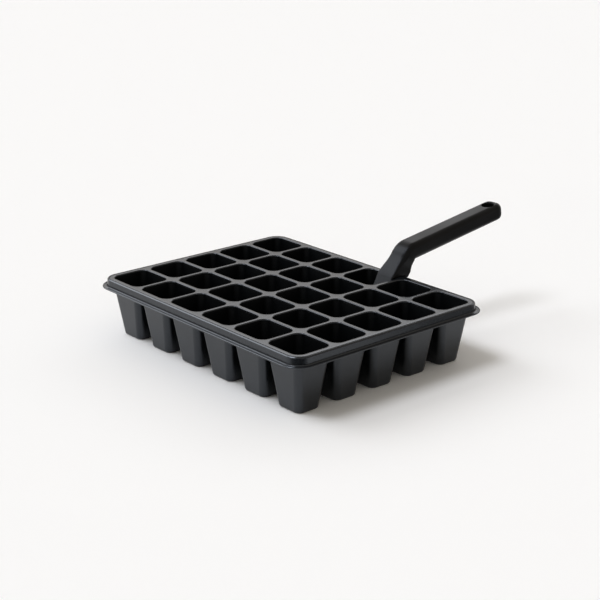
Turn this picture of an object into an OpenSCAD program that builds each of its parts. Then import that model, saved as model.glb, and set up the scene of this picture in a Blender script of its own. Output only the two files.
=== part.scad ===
// Cell seed tray with a cranked planting tool standing in one of its cells.
// Millimetres, Z up. The tray stands on z = 0, and the origin is the middle of
// the whole outline, tool included. X runs along the long side of the tray, and
// the tool's grip points away over the +Y rim.

/* [Cell grid] */
// Cells along the long side
columns = 6; // [4:1:8]
// Cells along the short side
rows = 5; // [2:1:6]
// Spacing of the cells along the long side
pitch_x = 45.2; // [42:0.1:60]
// Spacing of the cells along the short side
pitch_y = 41.3; // [39:0.1:60]
// Width of the deck left between two cell mouths
web = 4.2; // [2.8:0.1:6]
// Corner radius of a cell mouth
mouth_r = 8; // [6:0.5:11]

/* [Deck] */
// Height of the tray from the floor to the top of the deck
tray_h = 55.5; // [45:0.5:62]
// Thickness of the deck
deck_t = 1.6; // [1.2:0.1:3]
// Depth of the sockets under the deck that hold the cells
socket_depth = 3; // [2:0.5:5]
// Clearance round a cell in its socket
socket_gap = 0.1; // [0.05:0.05:0.3]

/* [Cells] */
// Wall of a cell
cell_wall = 0.9; // [0.7:0.1:1.4]
// Floor of a cell
cell_floor = 1.2; // [0.8:0.1:2.5]
// Slope of the cell walls from upright, in degrees
cell_draft = 7.6; // [5:0.1:10]
// Rounding of the upright corners of a cell
cell_r = 5.5; // [3:0.5:6]
// Bevel round the foot of a cell
foot_bevel = 1.4; // [0.6:0.1:2]
// Diameter of the drain hole
drain_d = 8; // [4:0.5:12]

/* [Rim] */
// From the outer cell line to the top outer edge of the rim
rim_margin = 4.4; // [4.2:0.1:8]
// Corner radius of the rim at its top
rim_corner_r = 14; // [11:0.5:20]
// Height of the rim from the deck's top to the underside of its flange
rim_h = 8.3; // [7:0.1:12]
// Wall of the rim's skirt
skirt_t = 1.4; // [1:0.1:2]
// Slope of the skirt from upright, in degrees
skirt_draft = 5; // [2:0.5:8]
// Width of the flat shoulder round the deck
shoulder_w = 1.4; // [1.3:0.1:2]
// Rounding of the shoulder's outer edge
shoulder_r = 1.1; // [0.4:0.1:1.2]
// Ledge under the deck's edge
ledge_w = 1.6; // [1:0.1:2.2]
// Thickness of that ledge
ledge_t = 1.4; // [1:0.1:2]
// Seam between the deck's edge and the rim
seam_gap = 0.5; // [0.2:0.1:0.8]
// Reach of the flange beyond the foot of the skirt
flange_w = 4; // [2.6:0.1:6]
// Thickness of the flange
flange_t = 0.8; // [0.7:0.1:2]
// Height of the upturned lip above the flange
lip_h = 0.5; // [0.4:0.1:3]
// Thickness of the lip
lip_t = 1; // [0.7:0.1:2]

/* [Planting tool] */
// Which column of the last row the tool stands in
tool_column = 4; // [1:1:4]
// Width of the grip
grip_w = 21; // [16:0.5:24]
// Thickness of the grip
grip_t = 16.5; // [11:0.5:18]
// Rounding along the grip's edges
grip_r = 4.5; // [2:0.5:5]
// From the bend to the far end of the grip
grip_len = 129; // [90:1:160]
// Rise of the grip from level, in degrees
grip_tilt = 8.4; // [0:0.1:20]
// Radius of the bend at the middle of the bar
bend_r = 11; // [10:0.5:16]
// Height of the bend above the deck
bend_rise = 19.5; // [17:0.1:40]
// Lean of the neck from upright, in degrees
neck_lean = 35; // [28:0.5:38]
// How far the neck's faces stand proud of the bend's
neck_swell = 0.15; // [0.1:0.05:0.4]
// Width of the blade at the deck
blade_w = 20; // [15:0.5:20]
// Thickness of the blade
blade_t = 2.4; // [1.6:0.1:2.6]
// How far the blade's face is set in front of the neck's
blade_set = 2.8; // [2.6:0.1:4]
// Height above the deck where the neck starts to flare out to the blade
flare_h = 10; // [8:0.5:14]
// Height above the heel where the flare has reached the blade
flare_lip = 4; // [3:0.5:5]
// Depth that the blade reaches below the deck
blade_depth = 26; // [15:0.5:27]
// Radius of the blade's tip
tip_r = 7; // [4:0.5:8]
// From the back edge of the cell mouth to the blade, at the deck
blade_back_gap = 5.2; // [4:0.1:6]
// Clearance between the blade and the corner of the cell mouth
blade_gap = 1.2; // [0.4:0.1:2]
// Clearance between the neck's heel and the rim that it stands on
heel_gap = 0.4; // [0.3:0.1:1]
// How far the heel steps down behind the rim
heel_drop = 3; // [1:0.5:4]
// Bevel round the far end of the grip
end_bevel = 2.2; // [1:0.1:2.4]
// Diameter of the hang hole
hang_d = 12; // [6:0.5:13]
// From the far end of the grip to the middle of the hang hole
hang_inset = 14; // [9:0.5:30]

/* [Hidden] */
$fn = 48;
over = 1; // how far a cutter passes the face that it cuts

row_letters = "abcdef";
function cell_name(r, c) = str("cell_", row_letters[r], c + 1);
function cell_x(c) = (c - (columns - 1) / 2) * pitch_x;
function cell_y(r) = (r - (rows - 1) / 2) * pitch_y;

grid_x = columns * pitch_x / 2; // half size of the grid of cells
grid_y = rows * pitch_y / 2;
mouth_x = (pitch_x - web) / 2; // half size of a cell mouth
mouth_y = (pitch_y - web) / 2;
mouth_core = [mouth_x - mouth_r, mouth_y - mouth_r]; // the corner axes of a mouth
cell_h = tray_h - deck_t;
cell_slope = tan(cell_draft);
corner_set = 0.05; // how far a cell's round corners lie behind its flat walls
foot_set = 0.3; // how far the bevelled foot is set in under the walls
foot_lap = 0.2; // how far the foot runs up into the walls
foot_slope = 0.5; // run of the foot's bevel for its rise

// Distances below are measured outwards from the edge of the grid.
seat_edge = rim_margin - shoulder_w;
deck_edge = seat_edge - seam_gap;
rib_edge = seat_edge - ledge_w - seam_gap;
corner_in = rim_corner_r - rim_margin; // the rim's corner axes lie this far inside
skirt_slope = tan(skirt_draft);
function skirt_at(z) = rim_margin + (tray_h - z) * skirt_slope;
rim_foot = tray_h - rim_h;
flange_edge = skirt_at(rim_foot) + flange_w;

turn = 90 - neck_lean - grip_tilt; // angle that the bar turns through at its bend
bend_in = bend_r * tan(turn / 2); // straight stretch that the bend takes from each arm
neck_lap = 0.6; // how far the neck runs up over the bend
neck_front = grip_t / 2 + neck_swell;
blade_back_y = cell_y(rows - 1) + mouth_y - blade_back_gap;
blade_front = neck_front + blade_set;
bend_y = blade_back_y + bend_rise * tan(neck_lean) + (blade_front - blade_t) / cos(neck_lean);
mouth_corner_gap = mouth_r - sqrt(pow(mouth_r, 2) - pow(mouth_r - blade_back_gap, 2));
tool_x = cell_x(tool_column - 1) + mouth_x - mouth_corner_gap - blade_gap - blade_w / 2;
heel_back_y = grid_y + skirt_at(tray_h - heel_drop) + heel_gap; // front of the heel's step
tool_end_y = bend_y + grip_len * cos(grip_tilt);
middle_y = (tool_end_y - grid_y - flange_edge) / 2; // middle of the whole outline

// Shifts a piece from the middle of the tray to the middle of the outline.
module placed() {
    translate([0, -middle_y, 0]) children();
}

// Flat outline with round corners about axes at +-core.
module round_outline(core, r) {
    square([2 * (core.x + r), 2 * core.y], center = true);
    square([2 * core.x, 2 * (core.y + r)], center = true);
    for (sx = [-1, 1], sy = [-1, 1])
        translate([sx * core.x, sy * core.y]) circle(r);
}

// Block with leaning round corners, which widens from half size low to high as it rises.
module tapered_block(low, high, r, h) {
    slope = (high.x - low.x) / h;
    axis_in = (r + corner_set) / cos(atan(slope));
    tilt = atan(sqrt(2) * slope);
    intersection() {
        tapered_slab(low.x, high.x, h, high.y);
        rotate([0, 0, 90]) tapered_slab(low.y - axis_in, high.y - axis_in, h, high.x);
    }
    intersection() {
        tapered_slab(low.x - axis_in, high.x - axis_in, h, high.y);
        rotate([0, 0, 90]) tapered_slab(low.y, high.y, h, high.x);
    }
    intersection() {
        for (sx = [-1, 1], sy = [-1, 1])
            translate([sx * (low.x - axis_in), sy * (low.y - axis_in), 0])
                rotate([0, tilt, atan2(sy, sx)])
                    translate([0, 0, -r]) cylinder(r = r, h = h / cos(tilt) + 2 * r);
        translate([-high.x - over, -high.y - over, 0]) cube([2 * (high.x + over), 2 * (high.y + over), h]);
    }
}

// Slab with sloped sides in X that passes a half depth in Y.
module tapered_slab(low, high, h, depth) {
    rotate([90, 0, 0])
        linear_extrude(2 * (depth + over), center = true)
            polygon([[-low, 0], [low, 0], [high, h], [-high, h]]);
}

// Section of the rim: distance outwards from the grid, then height.
function shoulder_arc(steps) = [
    for (k = [0 : steps])
        let (a = skirt_draft + (90 - skirt_draft) * k / steps)
            [rim_margin - shoulder_r + shoulder_r * cos(a), tray_h - shoulder_r + shoulder_r * sin(a)]
];
function rim_section() = concat(
    [
        [seat_edge, tray_h],
        [seat_edge, tray_h - deck_t],
        [seat_edge - ledge_w, tray_h - deck_t],
        [seat_edge - ledge_w, tray_h - deck_t - ledge_t],
        [skirt_at(tray_h - deck_t - ledge_t) - skirt_t, tray_h - deck_t - ledge_t],
        [skirt_at(rim_foot) - skirt_t, rim_foot],
        [flange_edge, rim_foot],
        [flange_edge, rim_foot + flange_t + lip_h],
        [flange_edge - lip_t, rim_foot + flange_t + lip_h],
        [flange_edge - lip_t, rim_foot + flange_t],
        [skirt_at(rim_foot + flange_t), rim_foot + flange_t]
    ],
    shoulder_arc(4)
);

// Shoulder, skirt, flange and upturned lip round the tray, with the deck's ledge.
module rim_frame() {
    straight_x = grid_x - corner_in;
    straight_y = grid_y - corner_in;
    color("#33363a") placed() {
        for (k = [0 : 3])
            rotate([0, 0, 90 * k]) {
                along = k % 2 == 0 ? [straight_x, straight_y] : [straight_y, straight_x];
                translate([along.x, along.y, 0])
                    rotate_extrude(angle = 90)
                        translate([corner_in, 0]) polygon(rim_section());
                translate([along.x + corner_in, 0, 0])
                    rotate([90, 0, 0])
                        linear_extrude(2 * along.y, center = true) polygon(rim_section());
            }
    }
}

// Deck with a mouth for each cell and a socket for each cell underneath.
module deck_grid() {
    core = [grid_x - corner_in, grid_y - corner_in];
    socket_in = cell_r - cell_wall; // from the mouth's walls in to the socket's corner axes
    socket_core = [mouth_x - socket_in, mouth_y - socket_in];
    color("#45484b") placed() {
        difference() {
            union() {
                translate([0, 0, tray_h - deck_t])
                    linear_extrude(deck_t) round_outline(core, deck_edge + corner_in);
                translate([0, 0, tray_h - deck_t - socket_depth])
                    linear_extrude(socket_depth) round_outline(core, rib_edge + corner_in);
            }
            for (r = [0 : rows - 1], c = [0 : columns - 1])
                translate([cell_x(c), cell_y(r), 0]) {
                    translate([0, 0, tray_h - deck_t - over])
                        linear_extrude(deck_t + 2 * over) round_outline(mouth_core, mouth_r);
                    translate([0, 0, tray_h - deck_t - socket_depth - over])
                        linear_extrude(socket_depth + over) round_outline(socket_core, cell_r + socket_gap);
                }
        }
    }
}

// Half size of a cell at a height, this far out from the walls of its mouth.
function cell_size(z, out) =
    [for (half = [mouth_x, mouth_y]) half + out - (cell_h - z) * cell_slope];

// One tapered cell with a bevelled foot and a drain hole in its floor.
module cell(r, c) {
    foot_h = foot_bevel + foot_lap;
    foot_out = cell_wall - foot_set;
    foot_top = foot_out + foot_lap * foot_slope;
    foot_low = foot_out - foot_bevel * foot_slope;
    color("#26282b") placed() translate([cell_x(c), cell_y(r), 0]) {
        difference() {
            union() {
                tapered_block(
                    cell_size(foot_bevel, foot_low), cell_size(foot_bevel, foot_top), cell_r, foot_h);
                translate([0, 0, foot_bevel])
                    tapered_block(
                        cell_size(foot_bevel, cell_wall), cell_size(cell_h, cell_wall),
                        cell_r, cell_h - foot_bevel);
            }
            translate([0, 0, cell_floor])
                tapered_block(
                    cell_size(cell_floor, 0), cell_size(cell_h + over, 0),
                    cell_r - cell_wall, cell_h - cell_floor + over);
            translate([0, 0, -over]) cylinder(d = drain_d, h = cell_floor + 2 * over);
        }
    }
}

// Section of the bar that the grip, the bend and the neck share.
module bar_section(swell = 0) {
    round_outline([grip_w / 2 - grip_r, grip_t / 2 - grip_r], grip_r + swell);
}

// Straight grip with a round bevelled end and a hang hole, along +Y from the bend.
module grip() {
    round_y = grip_len - grip_w / 2;
    end_z = grip_t / 2 + over;
    end_r = grip_w / 2 - end_bevel - over;
    difference() {
        intersection() {
            translate([0, bend_in, 0])
                rotate([-90, 0, 0]) linear_extrude(grip_len - bend_in) bar_section();
            union() {
                translate([-grip_w, 0, -grip_t]) cube([2 * grip_w, round_y, 2 * grip_t]);
                translate([0, round_y, 0])
                    rotate_extrude()
                        polygon([
                            [0, -end_z],
                            [end_r, -end_z],
                            [grip_w / 2, end_bevel - grip_t / 2],
                            [grip_w / 2, grip_t / 2 - end_bevel],
                            [end_r, end_z],
                            [0, end_z]
                        ]);
            }
        }
        translate([0, grip_len - hang_inset, -grip_t]) cylinder(d = hang_d, h = 2 * grip_t);
    }
}

// The bend, from the end of the grip round to the top of the neck.
module bend() {
    translate([0, bend_in, -bend_r])
        rotate([90, 0, 90]) rotate([0, 0, 90])
            rotate_extrude(angle = turn)
                translate([bend_r, 0]) rotate([0, 0, 90]) bar_section();
}

// Distance along the neck, from the bend, to a height above the deck on a face
// that lies this far in front of the neck's middle.
function neck_y(height, front) = (height - bend_rise - front * sin(neck_lean)) / cos(neck_lean);

// Neck down to its heel, which stands over the rim and steps down behind it, the
// flare in front of it, and the blade that goes on from the flare into the cell.
module neck_and_blade() {
    neck_len = (bend_rise + grip_t) / cos(neck_lean);
    flare_top = neck_y(flare_h, neck_front);
    flare_low = neck_y(heel_gap + flare_lip, blade_front);
    heel_y = neck_y(heel_gap, blade_front);
    tip_y = neck_y(-blade_depth, blade_front);
    flat = grip_w / 2 - grip_r;
    difference() {
        rotate([90 - neck_lean, 0, 0]) {
            translate([0, neck_lap - bend_in, 0])
                rotate([90, 0, 0]) linear_extrude(neck_len) bar_section(neck_swell);
            rotate([90, 0, 90])
                linear_extrude(2 * flat, center = true)
                    polygon([
                        [flare_top, neck_front],
                        [flare_low, blade_front],
                        [tip_y, blade_front],
                        [tip_y, 0],
                        [flare_top, 0]
                    ]);
        }
        translate([-grip_w, heel_back_y - bend_y - 4 * neck_len, heel_gap - bend_rise - 2 * neck_len])
            cube([2 * grip_w, 4 * neck_len, 2 * neck_len]);
        translate([-grip_w, -2 * neck_len, -heel_drop - bend_rise - 2 * neck_len])
            cube([2 * grip_w, 4 * neck_len, 2 * neck_len]);
    }
    rotate([90 - neck_lean, 0, 0])
        translate([0, 0, blade_front - blade_t])
            linear_extrude(blade_t) {
                translate([0, tip_y + tip_r]) circle(tip_r);
                polygon([
                    [-flat, flare_low],
                    [-blade_w / 2, heel_y],
                    [-tip_r, tip_y + tip_r],
                    [tip_r, tip_y + tip_r],
                    [blade_w / 2, heel_y],
                    [flat, flare_low]
                ]);
            }
}

// One moulding: grip, bend, neck with its heel on the rim, and blade.
module planting_tool() {
    color("#3a3a38") placed() translate([tool_x, bend_y, tray_h + bend_rise]) {
        rotate([grip_tilt, 0, 0]) {
            grip();
            bend();
        }
        neck_and_blade();
    }
}

rim_frame();
deck_grid();
for (r = [0 : rows - 1], c = [0 : columns - 1])
    cell(r, c);
planting_tool();
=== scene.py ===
import math

import bmesh
import bpy
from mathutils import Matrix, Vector


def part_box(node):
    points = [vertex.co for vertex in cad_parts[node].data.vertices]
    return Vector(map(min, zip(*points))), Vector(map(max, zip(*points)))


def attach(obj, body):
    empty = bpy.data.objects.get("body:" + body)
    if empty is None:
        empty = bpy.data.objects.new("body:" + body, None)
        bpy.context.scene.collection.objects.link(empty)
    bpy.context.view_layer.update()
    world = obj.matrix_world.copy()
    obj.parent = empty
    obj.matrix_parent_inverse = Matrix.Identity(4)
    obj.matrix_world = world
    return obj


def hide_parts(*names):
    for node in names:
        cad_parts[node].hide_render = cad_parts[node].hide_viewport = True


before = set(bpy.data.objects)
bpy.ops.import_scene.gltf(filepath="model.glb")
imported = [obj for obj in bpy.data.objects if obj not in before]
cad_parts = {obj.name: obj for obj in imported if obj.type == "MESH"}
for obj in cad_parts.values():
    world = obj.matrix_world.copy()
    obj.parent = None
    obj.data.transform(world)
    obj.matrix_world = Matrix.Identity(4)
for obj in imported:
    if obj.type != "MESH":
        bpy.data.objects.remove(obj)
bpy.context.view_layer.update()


# The rim is the stiff outer ring of the tray: a bevelled shoulder level with the deck,
# a skirt with a little draft, and a flange that turns up into a thin lip. It is moulded
# in black polypropylene, and the deck's edge drops into the seat inside it.
mm = 0.001
columns, row_letters = 6, "abcde"
rows = len(row_letters)
rim_low, rim_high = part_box("rim_frame")
first_low, first_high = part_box("cell_a1")
last_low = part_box(f"cell_{row_letters[-1]}{columns}")[0]
pitch_x = (last_low.x - first_low.x) / (columns - 1)
pitch_y = (last_low.y - first_low.y) / (rows - 1)
grid_x, grid_y = columns * pitch_x / 2, rows * pitch_y / 2
tray_middle_y = (rim_low.y + rim_high.y) / 2
deck_z = rim_high.z

# Distances across the rim are measured outwards from the edge of the grid of cells,
# and heights from the top of the deck. The axes of the tray's round corners lie inwards.
rim_corner_in = 9.6 * mm
seat_edge, seat_depth = 3.0 * mm, 1.6 * mm
seat_round, seat_floor_round = 0.15 * mm, 0.1 * mm
ledge_edge, ledge_under, ledge_round = 1.4 * mm, 3.0 * mm, 0.2 * mm
shoulder_edge = 4.4 * mm
shoulder_bevel, shoulder_round = 0.9 * mm, 0.3 * mm
skirt_slope = math.tan(math.radians(5))
skirt_wall, skirt_top_round, skirt_foot_round = 1.4 * mm, 0.3 * mm, 0.4 * mm
flange_edge = rim_high.x - grid_x
flange_wall, flange_round = 0.8 * mm, 0.45 * mm
rim_foot = rim_low.z - deck_z
gutter, gutter_round = rim_foot + flange_wall, 1.3 * mm
lip_wall, lip_height, lip_bevel = 1.2 * mm, 0.5 * mm, 0.4 * mm
lip_foot_round, lip_inner_round, lip_outer_round = 0.25 * mm, 0.2 * mm, 0.12 * mm

# Points this close are one point, and edges that turn by more than this stay clear.
join_distance = 0.001 * mm
sharp_turn = math.radians(38)


def rounded(corners, steps=5):
    """A closed outline whose corners, (across, up, rounding), become short curves."""
    points = [Vector((across, up)) for across, up, rounding in corners]
    outline = []
    for i, (across, up, rounding) in enumerate(corners):
        corner, before, after = points[i], points[i - 1], points[(i + 1) % len(points)]
        start = corner + (before - corner).normalized() * rounding
        end = corner + (after - corner).normalized() * rounding
        for step in range(steps + 1):
            u = step / steps
            outline.append((1 - u) ** 2 * start + 2 * u * (1 - u) * corner + u * u * end)
    return outline


def round_loop(core_x, core_y, radius, z, steps=16):
    """A level loop with round corners about axes at +-core_x, +-core_y."""
    loop = []
    for quarter, (side_x, side_y) in enumerate([(1, 1), (-1, 1), (-1, -1), (1, -1)]):
        for step in range(steps + 1):
            angle = math.radians(90 * (quarter + step / steps))
            x = side_x * core_x + radius * math.cos(angle)
            y = side_y * core_y + radius * math.sin(angle)
            loop.append(Vector((x, y, z)))
    return loop


def skinned(form, loops, closed=False):
    """Faces between loops of equal length, the last joined to the first if closed."""
    rings = [[form.verts.new(point) for point in loop] for loop in loops]
    pairs = list(zip(rings, rings[1:])) + ([(rings[-1], rings[0])] if closed else [])
    for low, high in pairs:
        for i in range(len(low)):
            form.faces.new((low[i - 1], low[i], high[i], high[i - 1]))
    return rings


def finished(form):
    """Joins the points that meet and turns every face outwards."""
    bmesh.ops.remove_doubles(form, verts=form.verts, dist=join_distance)
    bmesh.ops.recalc_face_normals(form, faces=form.faces)


def smooth(mesh):
    """Smooth shading that keeps the clear edges."""
    mesh.shade_smooth()
    mesh.set_sharp_from_angle(angle=sharp_turn)


def piece(name, form, body, node, material):
    """A finished mesh as a piece of the object, riding on its body in place of its node."""
    finished(form)
    mesh = bpy.data.meshes.new(name)
    form.to_mesh(mesh)
    form.free()
    smooth(mesh)
    mesh.materials.append(material)
    made = bpy.data.objects.new(name, mesh)
    bpy.context.scene.collection.objects.link(made)
    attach(made, body)
    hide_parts(node)
    return made


def evenly_shaded(made):
    """Keeps the shading of flat faces flat right up to their roundings."""
    shading = made.modifiers.new("even_shading", "WEIGHTED_NORMAL")
    shading.keep_sharp = True


def linear(hex_colour):
    """A linear colour from an sRGB hex value."""
    channels = [int(hex_colour[i:i + 2], 16) / 255 for i in (1, 3, 5)]
    return [c / 12.92 if c <= 0.04045 else ((c + 0.055) / 1.055) ** 2.4 for c in channels] + [1.0]


def add(tree, kind, inputs=None, **settings):
    """A shader node with its settings, and its inputs set or linked."""
    made = tree.nodes.new(kind)
    for key, value in settings.items():
        setattr(made, key, value)
    for key, value in (inputs or {}).items():
        if isinstance(value, bpy.types.NodeSocket):
            tree.links.new(value, made.inputs[key])
        else:
            made.inputs[key].default_value = value
    return made


def moulded_polypropylene(name, dark, light, roughness, grain, grain_depth, ior):
    """Polypropylene from a lightly blasted mould, black all through. The eye sees a satin
    skin with a fine even grain, and slow changes of sheen where the melt flowed. The real
    grain is about 0.1 mm wide, too fine to show, so it is drawn coarser."""
    flow_width = 35 * mm
    sheen_change = 0.04
    material = bpy.data.materials.new(name)
    material.use_nodes = True
    tree = material.node_tree
    shader = tree.nodes["Principled BSDF"]
    shader.inputs["IOR"].default_value = ior
    # Every reflection on the plastic is tinted a little blue: a painted tint that stands in for
    # the cool light from the left.
    shader.inputs["Specular Tint"].default_value = linear("#eef5ff")
    place = add(tree, "ShaderNodeTexCoord").outputs["Object"]
    flow = add(tree, "ShaderNodeTexNoise", {
        "Vector": place, "Scale": 1 / flow_width, "Detail": 3.0,
    }).outputs["Fac"]
    colour = add(tree, "ShaderNodeValToRGB", {"Fac": flow})
    darkest, lightest = colour.color_ramp.elements
    darkest.position, darkest.color = 0.35, linear(dark)
    lightest.position, lightest.color = 0.65, linear(light)
    sheen = add(tree, "ShaderNodeMapRange", {
        "Value": flow, "From Min": 0.3, "From Max": 0.7,
        "To Min": roughness - sheen_change, "To Max": roughness + sheen_change,
    })
    fine = add(tree, "ShaderNodeTexNoise", {"Vector": place, "Scale": 1 / grain, "Detail": 2.0})
    bump = add(tree, "ShaderNodeBump", {
        "Height": fine.outputs["Fac"], "Distance": grain_depth, "Strength": 0.5,
    })
    tree.links.new(colour.outputs["Color"], shader.inputs["Base Color"])
    tree.links.new(sheen.outputs["Result"], shader.inputs["Roughness"])
    tree.links.new(bump.outputs["Normal"], shader.inputs["Normal"])
    return material


# The tray's satin is the smoothest finish here, so its flat faces mirror the room softly.
tray_plastic = moulded_polypropylene(
    "satin_polypropylene", dark="#0c0f13", light="#101317",
    roughness=0.21, grain=0.5 * mm, grain_depth=0.02 * mm, ior=1.6)

rim_profile = rounded([
    (seat_edge, 0, seat_round),
    (shoulder_edge - shoulder_bevel, 0, shoulder_round),
    (shoulder_edge + shoulder_bevel * skirt_slope, -shoulder_bevel, shoulder_round),
    (shoulder_edge - gutter * skirt_slope, gutter, gutter_round),
    (flange_edge - lip_wall, gutter, lip_foot_round),
    (flange_edge - lip_wall, gutter + lip_height, lip_inner_round),
    (flange_edge - lip_bevel, gutter + lip_height, lip_outer_round),
    (flange_edge, gutter + lip_height - lip_bevel, lip_outer_round),
    (flange_edge, rim_foot, flange_round),
    (shoulder_edge - rim_foot * skirt_slope - skirt_wall, rim_foot, skirt_foot_round),
    (shoulder_edge + ledge_under * skirt_slope - skirt_wall, -ledge_under, skirt_top_round),
    (ledge_edge, -ledge_under, ledge_round),
    (ledge_edge, -seat_depth, ledge_round),
    (seat_edge, -seat_depth, seat_floor_round),
])
rim_form = bmesh.new()
skinned(rim_form, [
    round_loop(grid_x - rim_corner_in, grid_y - rim_corner_in, rim_corner_in + across, deck_z + up)
    for across, up in rim_profile
], closed=True)
bmesh.ops.translate(rim_form, vec=(0, tray_middle_y, 0), verts=rim_form.verts)
evenly_shaded(piece("rim", rim_form, "tray", "rim_frame", tray_plastic))


# The deck is the flat plate that joins the cells, with one rounded mouth for each.
# Its edge sits in the rim with a fine open seam, and sockets underneath hold the
# cells. It is moulded in the same black polypropylene, with softened mouth edges.
web = 4.2 * mm
mouth_x, mouth_y = (pitch_x - web) / 2, (pitch_y - web) / 2
mouth_radius = 8.0 * mm
mouth_softening = 1.05 * mm
deck_thickness = 1.6 * mm
socket_depth = 3.0 * mm
socket_out = 1.0 * mm
socket_radius = 5.6 * mm
rib_foot = -deck_thickness - socket_depth
seam = 0.5 * mm
deck_edge, rib_edge = seat_edge - seam, ledge_edge - seam
deck_softening = 0.4 * mm
softening_middle = 0.3 * deck_softening

# A tile may reach this far past the grid's round corner, and points of two tiles are
# one place where they agree to this many digits of a metre.
corner_margin = 0.4 * mm
place_digits = 7


def box_loop(half_x, half_y, radius, z):
    """A level loop of this half size with round corners."""
    return round_loop(half_x - radius, half_y - radius, radius, z)


def tile_loop(z):
    """The edge of one cell's share of the deck, with a point for each point of its mouth."""
    core_x, core_y = mouth_x - mouth_radius, mouth_y - mouth_radius
    far_x, far_y = pitch_x / 2, pitch_y / 2
    loop = []
    for point in box_loop(mouth_x, mouth_y, mouth_radius, z):
        out_x, out_y = abs(point.x) - core_x, abs(point.y) - core_y
        if out_x >= out_y:
            x, y = far_x, core_y + (far_y - core_y) * max(out_y, 0) / out_x
        else:
            x, y = core_x + (far_x - core_x) * max(out_x, 0) / out_y, far_y
        loop.append(Vector((math.copysign(x, point.x), math.copysign(y, point.y), z)))
    return loop


def mouth_loops(steps=4):
    """Loops over the softened edge of a mouth, down its wall and round its socket."""
    loops = []
    for step in range(steps + 1):
        angle = math.radians(90 * step / steps)
        out = mouth_softening * (1 - math.sin(angle))
        up = mouth_softening * (math.cos(angle) - 1)
        loops.append(box_loop(mouth_x + out, mouth_y + out, mouth_radius + out, up))
    loops.append(box_loop(mouth_x, mouth_y, mouth_radius, -deck_thickness))
    for up in (-deck_thickness, rib_foot):
        loops.append(box_loop(mouth_x + socket_out, mouth_y + socket_out, socket_radius, up))
    return loops


def way_out(point):
    """The nearest place between the axes of the deck's round corners, and the way out from it."""
    far_x, far_y = grid_x - rim_corner_in, grid_y - rim_corner_in
    axis_x = max(-far_x, min(far_x, point.x))
    axis_y = max(-far_y, min(far_y, point.y))
    axis = Vector((axis_x, axis_y, point.z))
    return axis, point - axis


def drawn_in(point):
    """A point of a tile, pulled in where it would stick out of the deck's round corner."""
    axis, away = way_out(point)
    limit = rim_corner_in + corner_margin
    return axis + away.normalized() * limit if away.length > limit else point


def edge_at(point, out, z):
    """The place on the deck's edge that lies outwards from a point of the grid's edge."""
    axis, away = way_out(point)
    edge = axis + away.normalized() * (rim_corner_in + out)
    return Vector((edge.x, edge.y, z))


deck_form = bmesh.new()
tile = [tile_loop(0)] + mouth_loops() + [tile_loop(rib_foot)]
grid_edge = {}
for row in range(rows):
    for column in range(columns):
        tile_x, tile_y = (column + 0.5) * pitch_x - grid_x, (row + 0.5) * pitch_y - grid_y
        centre = Vector((tile_x, tile_y, deck_z))
        skinned(deck_form, [[drawn_in(point + centre) for point in loop] for loop in tile])
        for point in tile[0]:
            at = point + centre
            if min(grid_x - abs(at.x), grid_y - abs(at.y)) < join_distance:
                spot = (round(at.x, place_digits), round(at.y, place_digits))
                grid_edge[spot] = drawn_in(at)
border = sorted(grid_edge.values(), key=lambda at: math.atan2(at.y, at.x))
border_profile = [
    (deck_edge - deck_softening, 0),
    (deck_edge - softening_middle, -softening_middle),
    (deck_edge, -deck_softening),
    (deck_edge, -deck_thickness),
    (rib_edge, -deck_thickness),
    (rib_edge, rib_foot),
]
border_loops = [border]
for out, up in border_profile:
    border_loops.append([edge_at(point, out, deck_z + up) for point in border])
border_loops.append([point + Vector((0, 0, rib_foot)) for point in border])
skinned(deck_form, border_loops)
bmesh.ops.translate(deck_form, vec=(0, tray_middle_y, 0), verts=deck_form.verts)
evenly_shaded(piece("deck", deck_form, "tray", "deck_grid", tray_plastic))


# The cells are thin tapered cups that hang in the deck's sockets and stand on the
# floor. They are moulded in the same polypropylene, with round upright corners, a
# soft-edged foot and a drain hole, and they are duller than the deck, most so inside,
# where the plastic is also painted darker and mirrors less: painted shade for the dim
# depth of each cup.
cell_wall = 0.9 * mm
cell_slope = math.tan(math.radians(7.6))
cell_radius = 6.3 * mm
cell_height = first_high.z - first_low.z
floor_thickness = 1.2 * mm
foot_softening = 2.2 * mm
floor_softening = 2.2 * mm
top_softening = 0.1 * mm
drain_radius = 4.0 * mm

# Outside, a blurred sheen shows which way each wall faces. Inside, hardly any is left, and
# the colour is darker: painted shade for the depth of the cup.
cell_plastic = moulded_polypropylene(
    "satin_polypropylene_cell", dark="#07090c", light="#0a0c0f",
    roughness=0.32, grain=0.5 * mm, grain_depth=0.02 * mm, ior=1.62)
# The inside is the same plastic, painted darker and with weaker reflections, as painted shade.
inside_painted_shade = moulded_polypropylene(
    "polypropylene_inside_painted_shade", dark="#040506", light="#060708",
    roughness=0.4, grain=0.5 * mm, grain_depth=0.04 * mm, ior=1.3)


def wall_at(up):
    """How far the outside of the walls lies out from the mouth at this height."""
    return cell_wall - (cell_height - up) * cell_slope


def cell_form():
    """One cup, from its inner rim down over the floor, through the drain and up outside."""
    drain = drain_radius - mouth_x
    profile = rounded([
        (wall_at(cell_height) - cell_wall, cell_height, top_softening),
        (wall_at(floor_thickness) - cell_wall, floor_thickness, floor_softening),
        (drain, floor_thickness, 0),
        (drain, 0, 0),
        (wall_at(0), 0, foot_softening),
        (wall_at(cell_height), cell_height, top_softening),
    ])
    loops = []
    for out, up in profile:
        radius = cell_radius + out - wall_at(up)
        loops.append(box_loop(mouth_x + out, mouth_y + out, radius, up))
    # The middle third of the loops, at the drain, gives way to two round ones.
    third = len(loops) // 3
    drain_loops = [round_loop(0, 0, drain_radius, up) for up in (floor_thickness, 0)]
    cup = bmesh.new()
    rings = skinned(cup, loops[:third] + drain_loops + loops[-third:], closed=True)
    inside = {point for ring in rings[:len(rings) // 2] for point in ring}
    # Faces wholly inside the cup take the second material, which carries the painted shade.
    for face in cup.faces:
        face.material_index = int(inside.issuperset(face.verts))
    return cup


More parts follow.
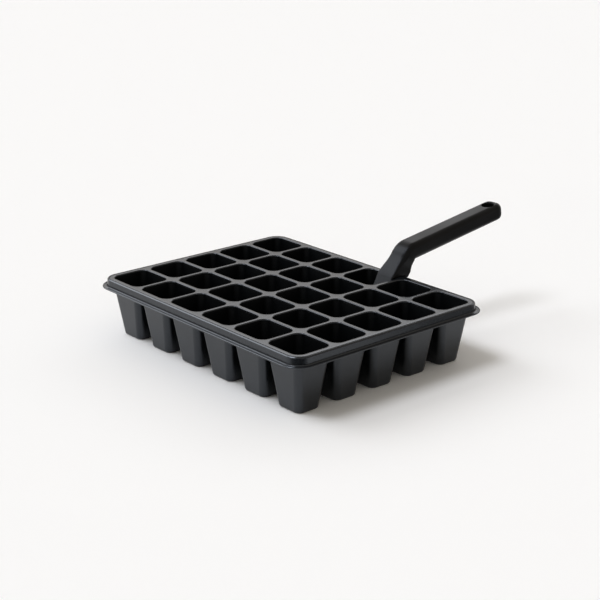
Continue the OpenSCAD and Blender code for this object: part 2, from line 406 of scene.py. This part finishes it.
for letter in row_letters:
    for number in range(1, columns + 1):
        cell = f"cell_{letter}{number}"
        low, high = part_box(cell)
        foot = ((low.x + high.x) / 2, (low.y + high.y) / 2, low.z)
        cup = cell_form()
        bmesh.ops.translate(cup, vec=foot, verts=cup.verts)
        made = piece(f"cup_{letter}{number}", cup, "tray", cell, cell_plastic)
        # The second material is the painted shade of the cup's inside.
        made.data.materials.append(inside_painted_shade)
        evenly_shaded(made)


# The planting tool is one thick moulding of polypropylene: a grip with a hang hole, a
# bend, and a waisted neck whose heel stands over the rim and steps down behind it. From
# the flare in front of the neck, a thin blade goes down into the cell and lifts out of it.
tool_low, tool_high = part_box("planting_tool")
tool_x = (tool_low.x + tool_high.x) / 2
grip_width, grip_depth, grip_edge = 21.0 * mm, 16.5 * mm, 5.2 * mm
grip_half = grip_depth / 2
grip_length, end_round = 129.0 * mm, 7.4 * mm
grip_tilt = math.radians(8.4)
hang_radius, hang_inset, hang_softening = 6.0 * mm, 14.0 * mm, 1.5 * mm
hang_clearance = 3 * hang_softening
neck_lean = math.radians(35)
neck_width, neck_front, neck_edge = 21.3 * mm, 8.4 * mm, 2.0 * mm
neck_waist = 1.2 * mm
flare_length, flare_front = 17.0 * mm, neck_front + 3.0 * mm
blade_width, blade_depth, blade_thickness = 20.0 * mm, 26.0 * mm, 2.4 * mm
blade_front, blade_edge = neck_front + 2.8 * mm, 1.1 * mm
tip_radius = 7.0 * mm
heel_gap, heel_drop, heel_back = 0.4 * mm, 3.0 * mm, 108.35 * mm
heel_softening, heel_inset = 0.7 * mm, 0.1 * mm
bend_radius = 11.0 * mm
bend_reach, bend_rise = 120.35 * mm, 19.5 * mm
bend_turn = math.pi / 2 - neck_lean - grip_tilt
bend_in = bend_radius * math.tan(bend_turn / 2)
bend = Vector((tool_x, tray_middle_y + bend_reach, deck_z + bend_rise))

# The blade stays square to the neck up to this far under the heel. The heel's step has
# its full width from its start, just under the deck, and overlaps the neck above that.
blade_turn = 2.0 * mm
heel_start, heel_overlap, heel_overlap_inset = 0.2 * mm, 0.8 * mm, 0.4 * mm

# The share of a section's half width or half depth that its round edges may take.
most_round = 0.99

# A coarser and deeper grain than the tray's, so the grip looks matt and its edges soft.
tool_plastic = moulded_polypropylene(
    "grained_polypropylene", dark="#0c0c0b", light="#100f0f",
    roughness=0.33, grain=0.7 * mm, grain_depth=0.05 * mm, ior=1.26)


def bar_loop(width, front, back, edge, place, steps=6):
    """A section of the bar with round edges; place turns (across, outwards) into a point."""
    half_x, half_y = width / 2, (front + back) / 2
    edge = min(edge, most_round * half_x, most_round * half_y)
    flat = round_loop(half_x - edge, half_y - edge, edge, 0, steps)
    return [place(point.x, point.y + (front - back) / 2) for point in flat]


def along(angle, start, reach, level=0):
    """Places a section on an arm that rises at this angle: square to it at level 0, or
    parallel to the deck at level 1."""
    line = Vector((0, math.cos(angle), math.sin(angle)))
    out = Vector((0, -math.sin(angle), math.cos(angle)))
    lean = level / math.tan(angle)

    def place(across, outwards):
        return start + Vector((across, 0, 0)) + line * (reach - outwards * lean) + out * outwards

    return place


def on_neck(reach, level=0):
    """Places a section on the neck or the blade, this far along from the bend."""
    return along(math.pi / 2 - neck_lean, bend, reach, level)


def neck_reach(height, front=0):
    """How far along the neck a face this far in front of its middle comes to this height."""
    return (height - bend_rise - front * math.sin(neck_lean)) / math.cos(neck_lean)


def blade_loops(steps=8):
    """From the blade's round tip up to the heel, where its sections turn level."""
    back = blade_thickness - blade_front
    tip = neck_reach(-blade_depth, blade_front)
    loops = []
    for step in range(1, steps + 1):
        angle = math.radians(90 * step / steps)
        reach = tip + tip_radius * (1 - math.cos(angle))
        width = 2 * tip_radius * math.sin(angle)
        loops.append(bar_loop(width, blade_front, back, blade_edge, on_neck(reach)))
    square = on_neck(neck_reach(heel_gap, blade_front) - blade_turn)
    level = on_neck(neck_reach(heel_gap), 1)
    for place in (square, level):
        loops.append(bar_loop(blade_width, blade_front, back, blade_edge, place))
    return loops


def neck_loops(steps=16):
    """From the heel up the flare and the waist to the start of the bend."""
    low, high = neck_reach(heel_gap), -bend_in
    loops = []
    for step in range(steps + 1):
        share = step / steps
        reach = low + (high - low) * share
        flared = min(1, (reach - low) / flare_length)
        ease = flared * flared * (3 - 2 * flared)
        width = neck_width - neck_waist * math.sin(math.pi * share) ** 2
        front = flare_front + (neck_front - flare_front) * ease
        edge = neck_edge + (grip_edge - neck_edge) * ease
        loops.append(bar_loop(width, front, neck_front, edge, on_neck(reach, 1 - share)))
    return loops


def bend_loops(steps=10):
    """Round the bend from the neck to the grip."""
    line = Vector((0, math.cos(grip_tilt), math.sin(grip_tilt)))
    out = Vector((0, -math.sin(grip_tilt), math.cos(grip_tilt)))
    centre = bend + bend_in * line - bend_radius * out
    loops = []
    for step in range(1, steps):
        angle = grip_tilt + bend_turn * (1 - step / steps)
        start = centre + bend_radius * Vector((0, -math.sin(angle), math.cos(angle)))
        place = along(angle, start, 0)
        loops.append(bar_loop(grip_width, grip_half, grip_half, grip_edge, place))
    return loops


def grip_loops(steps=8, end_steps=14, short_of_tip=0.2):
    """Along the grip and over its end, which is round seen from above and from the side."""
    round_start = grip_length - grip_width / 2
    loops = []
    for step in range(steps + 1):
        reach = bend_in + (round_start - bend_in) * step / steps
        place = along(grip_tilt, bend, reach)
        loops.append(bar_loop(grip_width, grip_half, grip_half, grip_edge, place))
    for step in range(1, end_steps + 1):
        angle = math.radians(90 * step / (end_steps + short_of_tip))
        reach = round_start + grip_width / 2 * math.sin(angle)
        inside = max(0, end_round - (grip_length - reach))
        half = grip_half - end_round + math.sqrt(end_round ** 2 - inside ** 2)
        place = along(grip_tilt, bend, reach)
        loops.append(bar_loop(grip_width * math.cos(angle), half, half, grip_edge, place))
    return loops


def heel_loops():
    """The step of the heel behind the rim, from inside the neck down to its softened foot."""
    levels = [
        (heel_gap + heel_overlap, heel_overlap_inset),
        (-heel_start, heel_inset),
        (heel_softening - heel_drop, heel_inset),
        (-heel_drop, heel_softening),
    ]
    loops = []
    for height, inset in levels:
        reach = neck_reach(height)
        ahead = bend_reach - heel_back + reach * math.sin(neck_lean)
        front = ahead * math.cos(neck_lean) - inset
        width = neck_width - 2 * inset
        loops.append(bar_loop(width, front, neck_front - inset, neck_edge, on_neck(reach, 1)))
    return loops


def hang_loops(steps=6, round_steps=12):
    """A plug for the hang hole, which widens where it breaks the grip's two faces."""
    half = [(hang_radius + hang_clearance, hang_clearance)]
    for step in range(steps + 1):
        angle = math.radians(90 - 90 * step / steps)
        radius = hang_radius + hang_softening * (1 - math.cos(angle))
        half.append((radius, -hang_softening * (1 - math.sin(angle))))
    profile = [(radius, grip_half + up) for radius, up in half]
    profile += [(radius, -grip_half - up) for radius, up in reversed(half)]
    middle = grip_length - hang_inset
    loops = []
    for radius, up in profile:
        loop = round_loop(0, 0, radius, up, round_steps)
        loops.append([along(grip_tilt, bend, middle + point.y)(point.x, up) for point in loop])
    return loops


def capped(loops):
    """A closed mesh from loops, with a face over each end."""
    form = bmesh.new()
    rings = skinned(form, loops)
    form.faces.new(rings[0])
    form.faces.new(rings[-1])
    return form


def combine(target, loops, operation):
    """Joins a closed mesh to the target's, or cuts it away."""
    form = capped(loops)
    finished(form)
    helper_mesh = bpy.data.meshes.new("helper")
    form.to_mesh(helper_mesh)
    form.free()
    helper = bpy.data.objects.new("helper", helper_mesh)
    bpy.context.scene.collection.objects.link(helper)
    cut = target.modifiers.new(operation, "BOOLEAN")
    cut.object, cut.operation, cut.solver = helper, operation, "EXACT"
    result = target.evaluated_get(bpy.context.evaluated_depsgraph_get())
    target.data = bpy.data.meshes.new_from_object(result)
    target.modifiers.clear()
    bpy.data.objects.remove(helper)
    smooth(target.data)


bar = capped(blade_loops() + neck_loops() + bend_loops() + grip_loops())
tool = piece("planting_tool_moulding", bar, "tool", "planting_tool", tool_plastic)
combine(tool, heel_loops(), "UNION")
combine(tool, hang_loops(), "DIFFERENCE")
evenly_shaded(tool)


# The floor is a wide sheet of pale paper, on which the cells stand. It takes the soft
# shadow, and runs back until it meets the plain backdrop.
floor_half = 6.0


def uncoated_paper(name, colour):
    """Uncoated paper or card. The eye sees an even colour with hardly any gloss."""
    material = bpy.data.materials.new(name)
    material.use_nodes = True
    shader = material.node_tree.nodes["Principled BSDF"]
    shader.inputs["Base Color"].default_value = linear(colour)
    shader.inputs["Roughness"].default_value = 0.95
    shader.inputs["Specular IOR Level"].default_value = 0.1
    return material


def laid_sheet(name, corners, material):
    """A flat sheet between its corners, with one material."""
    form = bmesh.new()
    form.faces.new([form.verts.new(corner) for corner in corners])
    mesh = bpy.data.meshes.new(name)
    form.to_mesh(mesh)
    form.free()
    mesh.materials.append(material)
    made = bpy.data.objects.new(name, mesh)
    bpy.context.scene.collection.objects.link(made)
    return made


floor_corners = [
    (-floor_half, -floor_half, 0),
    (floor_half, -floor_half, 0),
    (floor_half, floor_half, 0),
    (-floor_half, floor_half, 0),
]
laid_sheet("floor", floor_corners, uncoated_paper("matt_paper", "#f9f9f8"))


# The light is a plain studio: an even room, a lit wall behind the tray, a round softbox
# at the back left, and one wide soft lamp high at the left. Directions are the camera's:
# sideways is to its right, and behind is the way it looks.
view_turn = math.radians(49.30)
sideways = Vector((math.cos(view_turn), math.sin(view_turn), 0))
behind = Vector((-math.sin(view_turn), math.cos(view_turn), 0))
overhead = Vector((0, 0, 1))
window_side = -(sideways + behind).normalized()
softbox_side = (-0.72 * sideways + 0.33 * behind + 0.62 * overhead).normalized()
lamp_side = -0.45 * sideways - 0.12 * behind + 0.88 * overhead
lamp_strength, lamp_spread = 1.2, math.radians(26)
cool_white = linear("#f6f9ff")

room = bpy.data.worlds.new("studio_room")
room.use_nodes = True
tree = room.node_tree
seen = add(tree, "ShaderNodeTexCoord").outputs["Generated"]
rise = add(tree, "ShaderNodeSeparateXYZ", {"Vector": seen}).outputs["Z"]

# Pale daylight from the front left, and a warmer, dimmer room at the back right.
to_window = add(tree, "ShaderNodeVectorMath", {
    0: seen, 1: window_side,
}, operation="DOT_PRODUCT").outputs["Value"]
window_share = add(tree, "ShaderNodeMapRange", {
    "Value": to_window, "From Min": -1.0, "From Max": 1.0,
}).outputs["Result"]
daylight = add(tree, "ShaderNodeValToRGB", {"Fac": window_share})
room_end, window_end = daylight.color_ramp.elements
room_end.color, window_end.color = linear("#c4b8a8"), linear("#e4e2dd")
ceiling = add(tree, "ShaderNodeMapRange", {
    "Value": rise, "From Min": 0.3, "From Max": 0.9, "To Min": 0.7, "To Max": 0.62,
}).outputs["Result"]
room_light = add(tree, "ShaderNodeBackground", {
    "Color": daylight.outputs["Color"], "Strength": ceiling,
}).outputs["Background"]

# The wall behind the tray has a lit band over a dim foot, and fades out further up.
to_wall = add(tree, "ShaderNodeVectorMath", {
    0: seen, 1: behind,
}, operation="DOT_PRODUCT").outputs["Value"]
wall_across = add(tree, "ShaderNodeMapRange", {
    "Value": to_wall, "From Min": 0.2, "From Max": 0.85,
}, interpolation_type="SMOOTHSTEP").outputs["Result"]
wall_up = add(tree, "ShaderNodeMapRange", {
    "Value": rise, "From Min": 0.3, "From Max": 0.4, "To Min": 0.2, "To Max": 1.75,
}, interpolation_type="SMOOTHSTEP").outputs["Result"]
wall_top = add(tree, "ShaderNodeMapRange", {
    "Value": rise, "From Min": 0.4, "From Max": 0.75, "To Min": 1.0, "To Max": 0.0,
}, interpolation_type="SMOOTHSTEP").outputs["Result"]
wall_height = add(tree, "ShaderNodeMath", {
    0: wall_top, 1: wall_up,
}, operation="MULTIPLY").outputs["Value"]
wall = add(tree, "ShaderNodeMath", {
    0: wall_across, 1: wall_height,
}, operation="MULTIPLY").outputs["Value"]
wall_light = add(tree, "ShaderNodeBackground", {
    "Color": cool_white, "Strength": wall,
}).outputs["Background"]

# The softbox draws the light line along the rim's shoulder.
to_softbox = add(tree, "ShaderNodeVectorMath", {
    0: seen, 1: softbox_side,
}, operation="DOT_PRODUCT").outputs["Value"]
glow = add(tree, "ShaderNodeMapRange", {
    "Value": to_softbox, "From Min": 0.94, "From Max": 0.975, "To Min": 0.0, "To Max": 3.6,
}, interpolation_type="SMOOTHSTEP").outputs["Result"]
softbox_light = add(tree, "ShaderNodeBackground", {
    "Color": cool_white, "Strength": glow,
}).outputs["Background"]

# The camera itself sees a plain pale backdrop in place of the lit room.
extra_light = add(tree, "ShaderNodeAddShader", {0: wall_light, 1: softbox_light}).outputs["Shader"]
all_light = add(tree, "ShaderNodeAddShader", {0: room_light, 1: extra_light}).outputs["Shader"]
backdrop = add(tree, "ShaderNodeBackground", {
    "Color": linear("#f6f7f4"), "Strength": 1.0,
}).outputs["Background"]
camera_ray = add(tree, "ShaderNodeLightPath").outputs["Is Camera Ray"]
surroundings = add(tree, "ShaderNodeMixShader", {0: camera_ray, 1: all_light, 2: backdrop})
tree.links.new(surroundings.outputs["Shader"], tree.nodes["World Output"].inputs["Surface"])
bpy.context.scene.world = room
bpy.context.scene.view_settings.view_transform = "Standard"

# The lamp lights the whole floor evenly and throws the tray's shadow to the right.
lamp = bpy.data.lights.new("key_softbox", "SUN")
lamp.energy, lamp.angle = lamp_strength, lamp_spread
lamp.color = linear("#f4f7ff")[:3]
lamp_stand = bpy.data.objects.new("key_softbox", lamp)
lamp_stand.rotation_euler = lamp_side.to_track_quat("Z", "Y").to_euler()
bpy.context.scene.collection.objects.link(lamp_stand)


# Two cards lie on the floor, a black one in front of the tray and a grey one at its
# right. Only reflections see them, and they keep the rim's front corner and the right
# sides dark.
card_height = 1 * mm
card_right = 1.5
front_card_left, front_card_near, front_card_far = -0.35, -2.0, -0.32
right_card_left, right_card_far = 0.30, 0.6


def card(name, left, near, far, material):
    """A card between these distances from the tray's middle, seen only in reflections."""
    middle = Vector((0, tray_middle_y, card_height))
    spread = [(left, near), (card_right, near), (card_right, far), (left, far)]
    corners = [middle + x * sideways + y * behind for x, y in spread]
    made = laid_sheet(name, corners, material)
    made.visible_camera = False
    made.visible_diffuse = False
    made.visible_shadow = False


card("front_card", front_card_left, front_card_near, front_card_far,
     uncoated_paper("matt_black_card", "#101010"))
card("right_card", right_card_left, front_card_far, right_card_far,
     uncoated_paper("matt_grey_card", "#8a8a8a"))


# The camera stands in front of the tray's near corner, a little above the deck, as
# the photograph was taken.
view_tilt, view_distance = math.radians(19.07), 1272.6 * mm
aim_right, aim_down = 12.2 * mm, 10.1 * mm
sensor_width, focal_length = 36, 84.02
towards = overhead * math.sin(view_tilt) - behind * math.cos(view_tilt)
upwards = towards.cross(sideways)
deck_middle = Vector((0, tray_middle_y, deck_z))
aim = deck_middle + aim_right * sideways - aim_down * upwards
lens = bpy.data.cameras.new("camera")
lens.sensor_width, lens.lens = sensor_width, focal_length
camera = bpy.data.objects.new("camera", lens)
camera.location = aim + view_distance * towards
camera.rotation_euler = towards.to_track_quat("Z", "Y").to_euler()
bpy.context.scene.collection.objects.link(camera)
bpy.context.scene.camera = camera
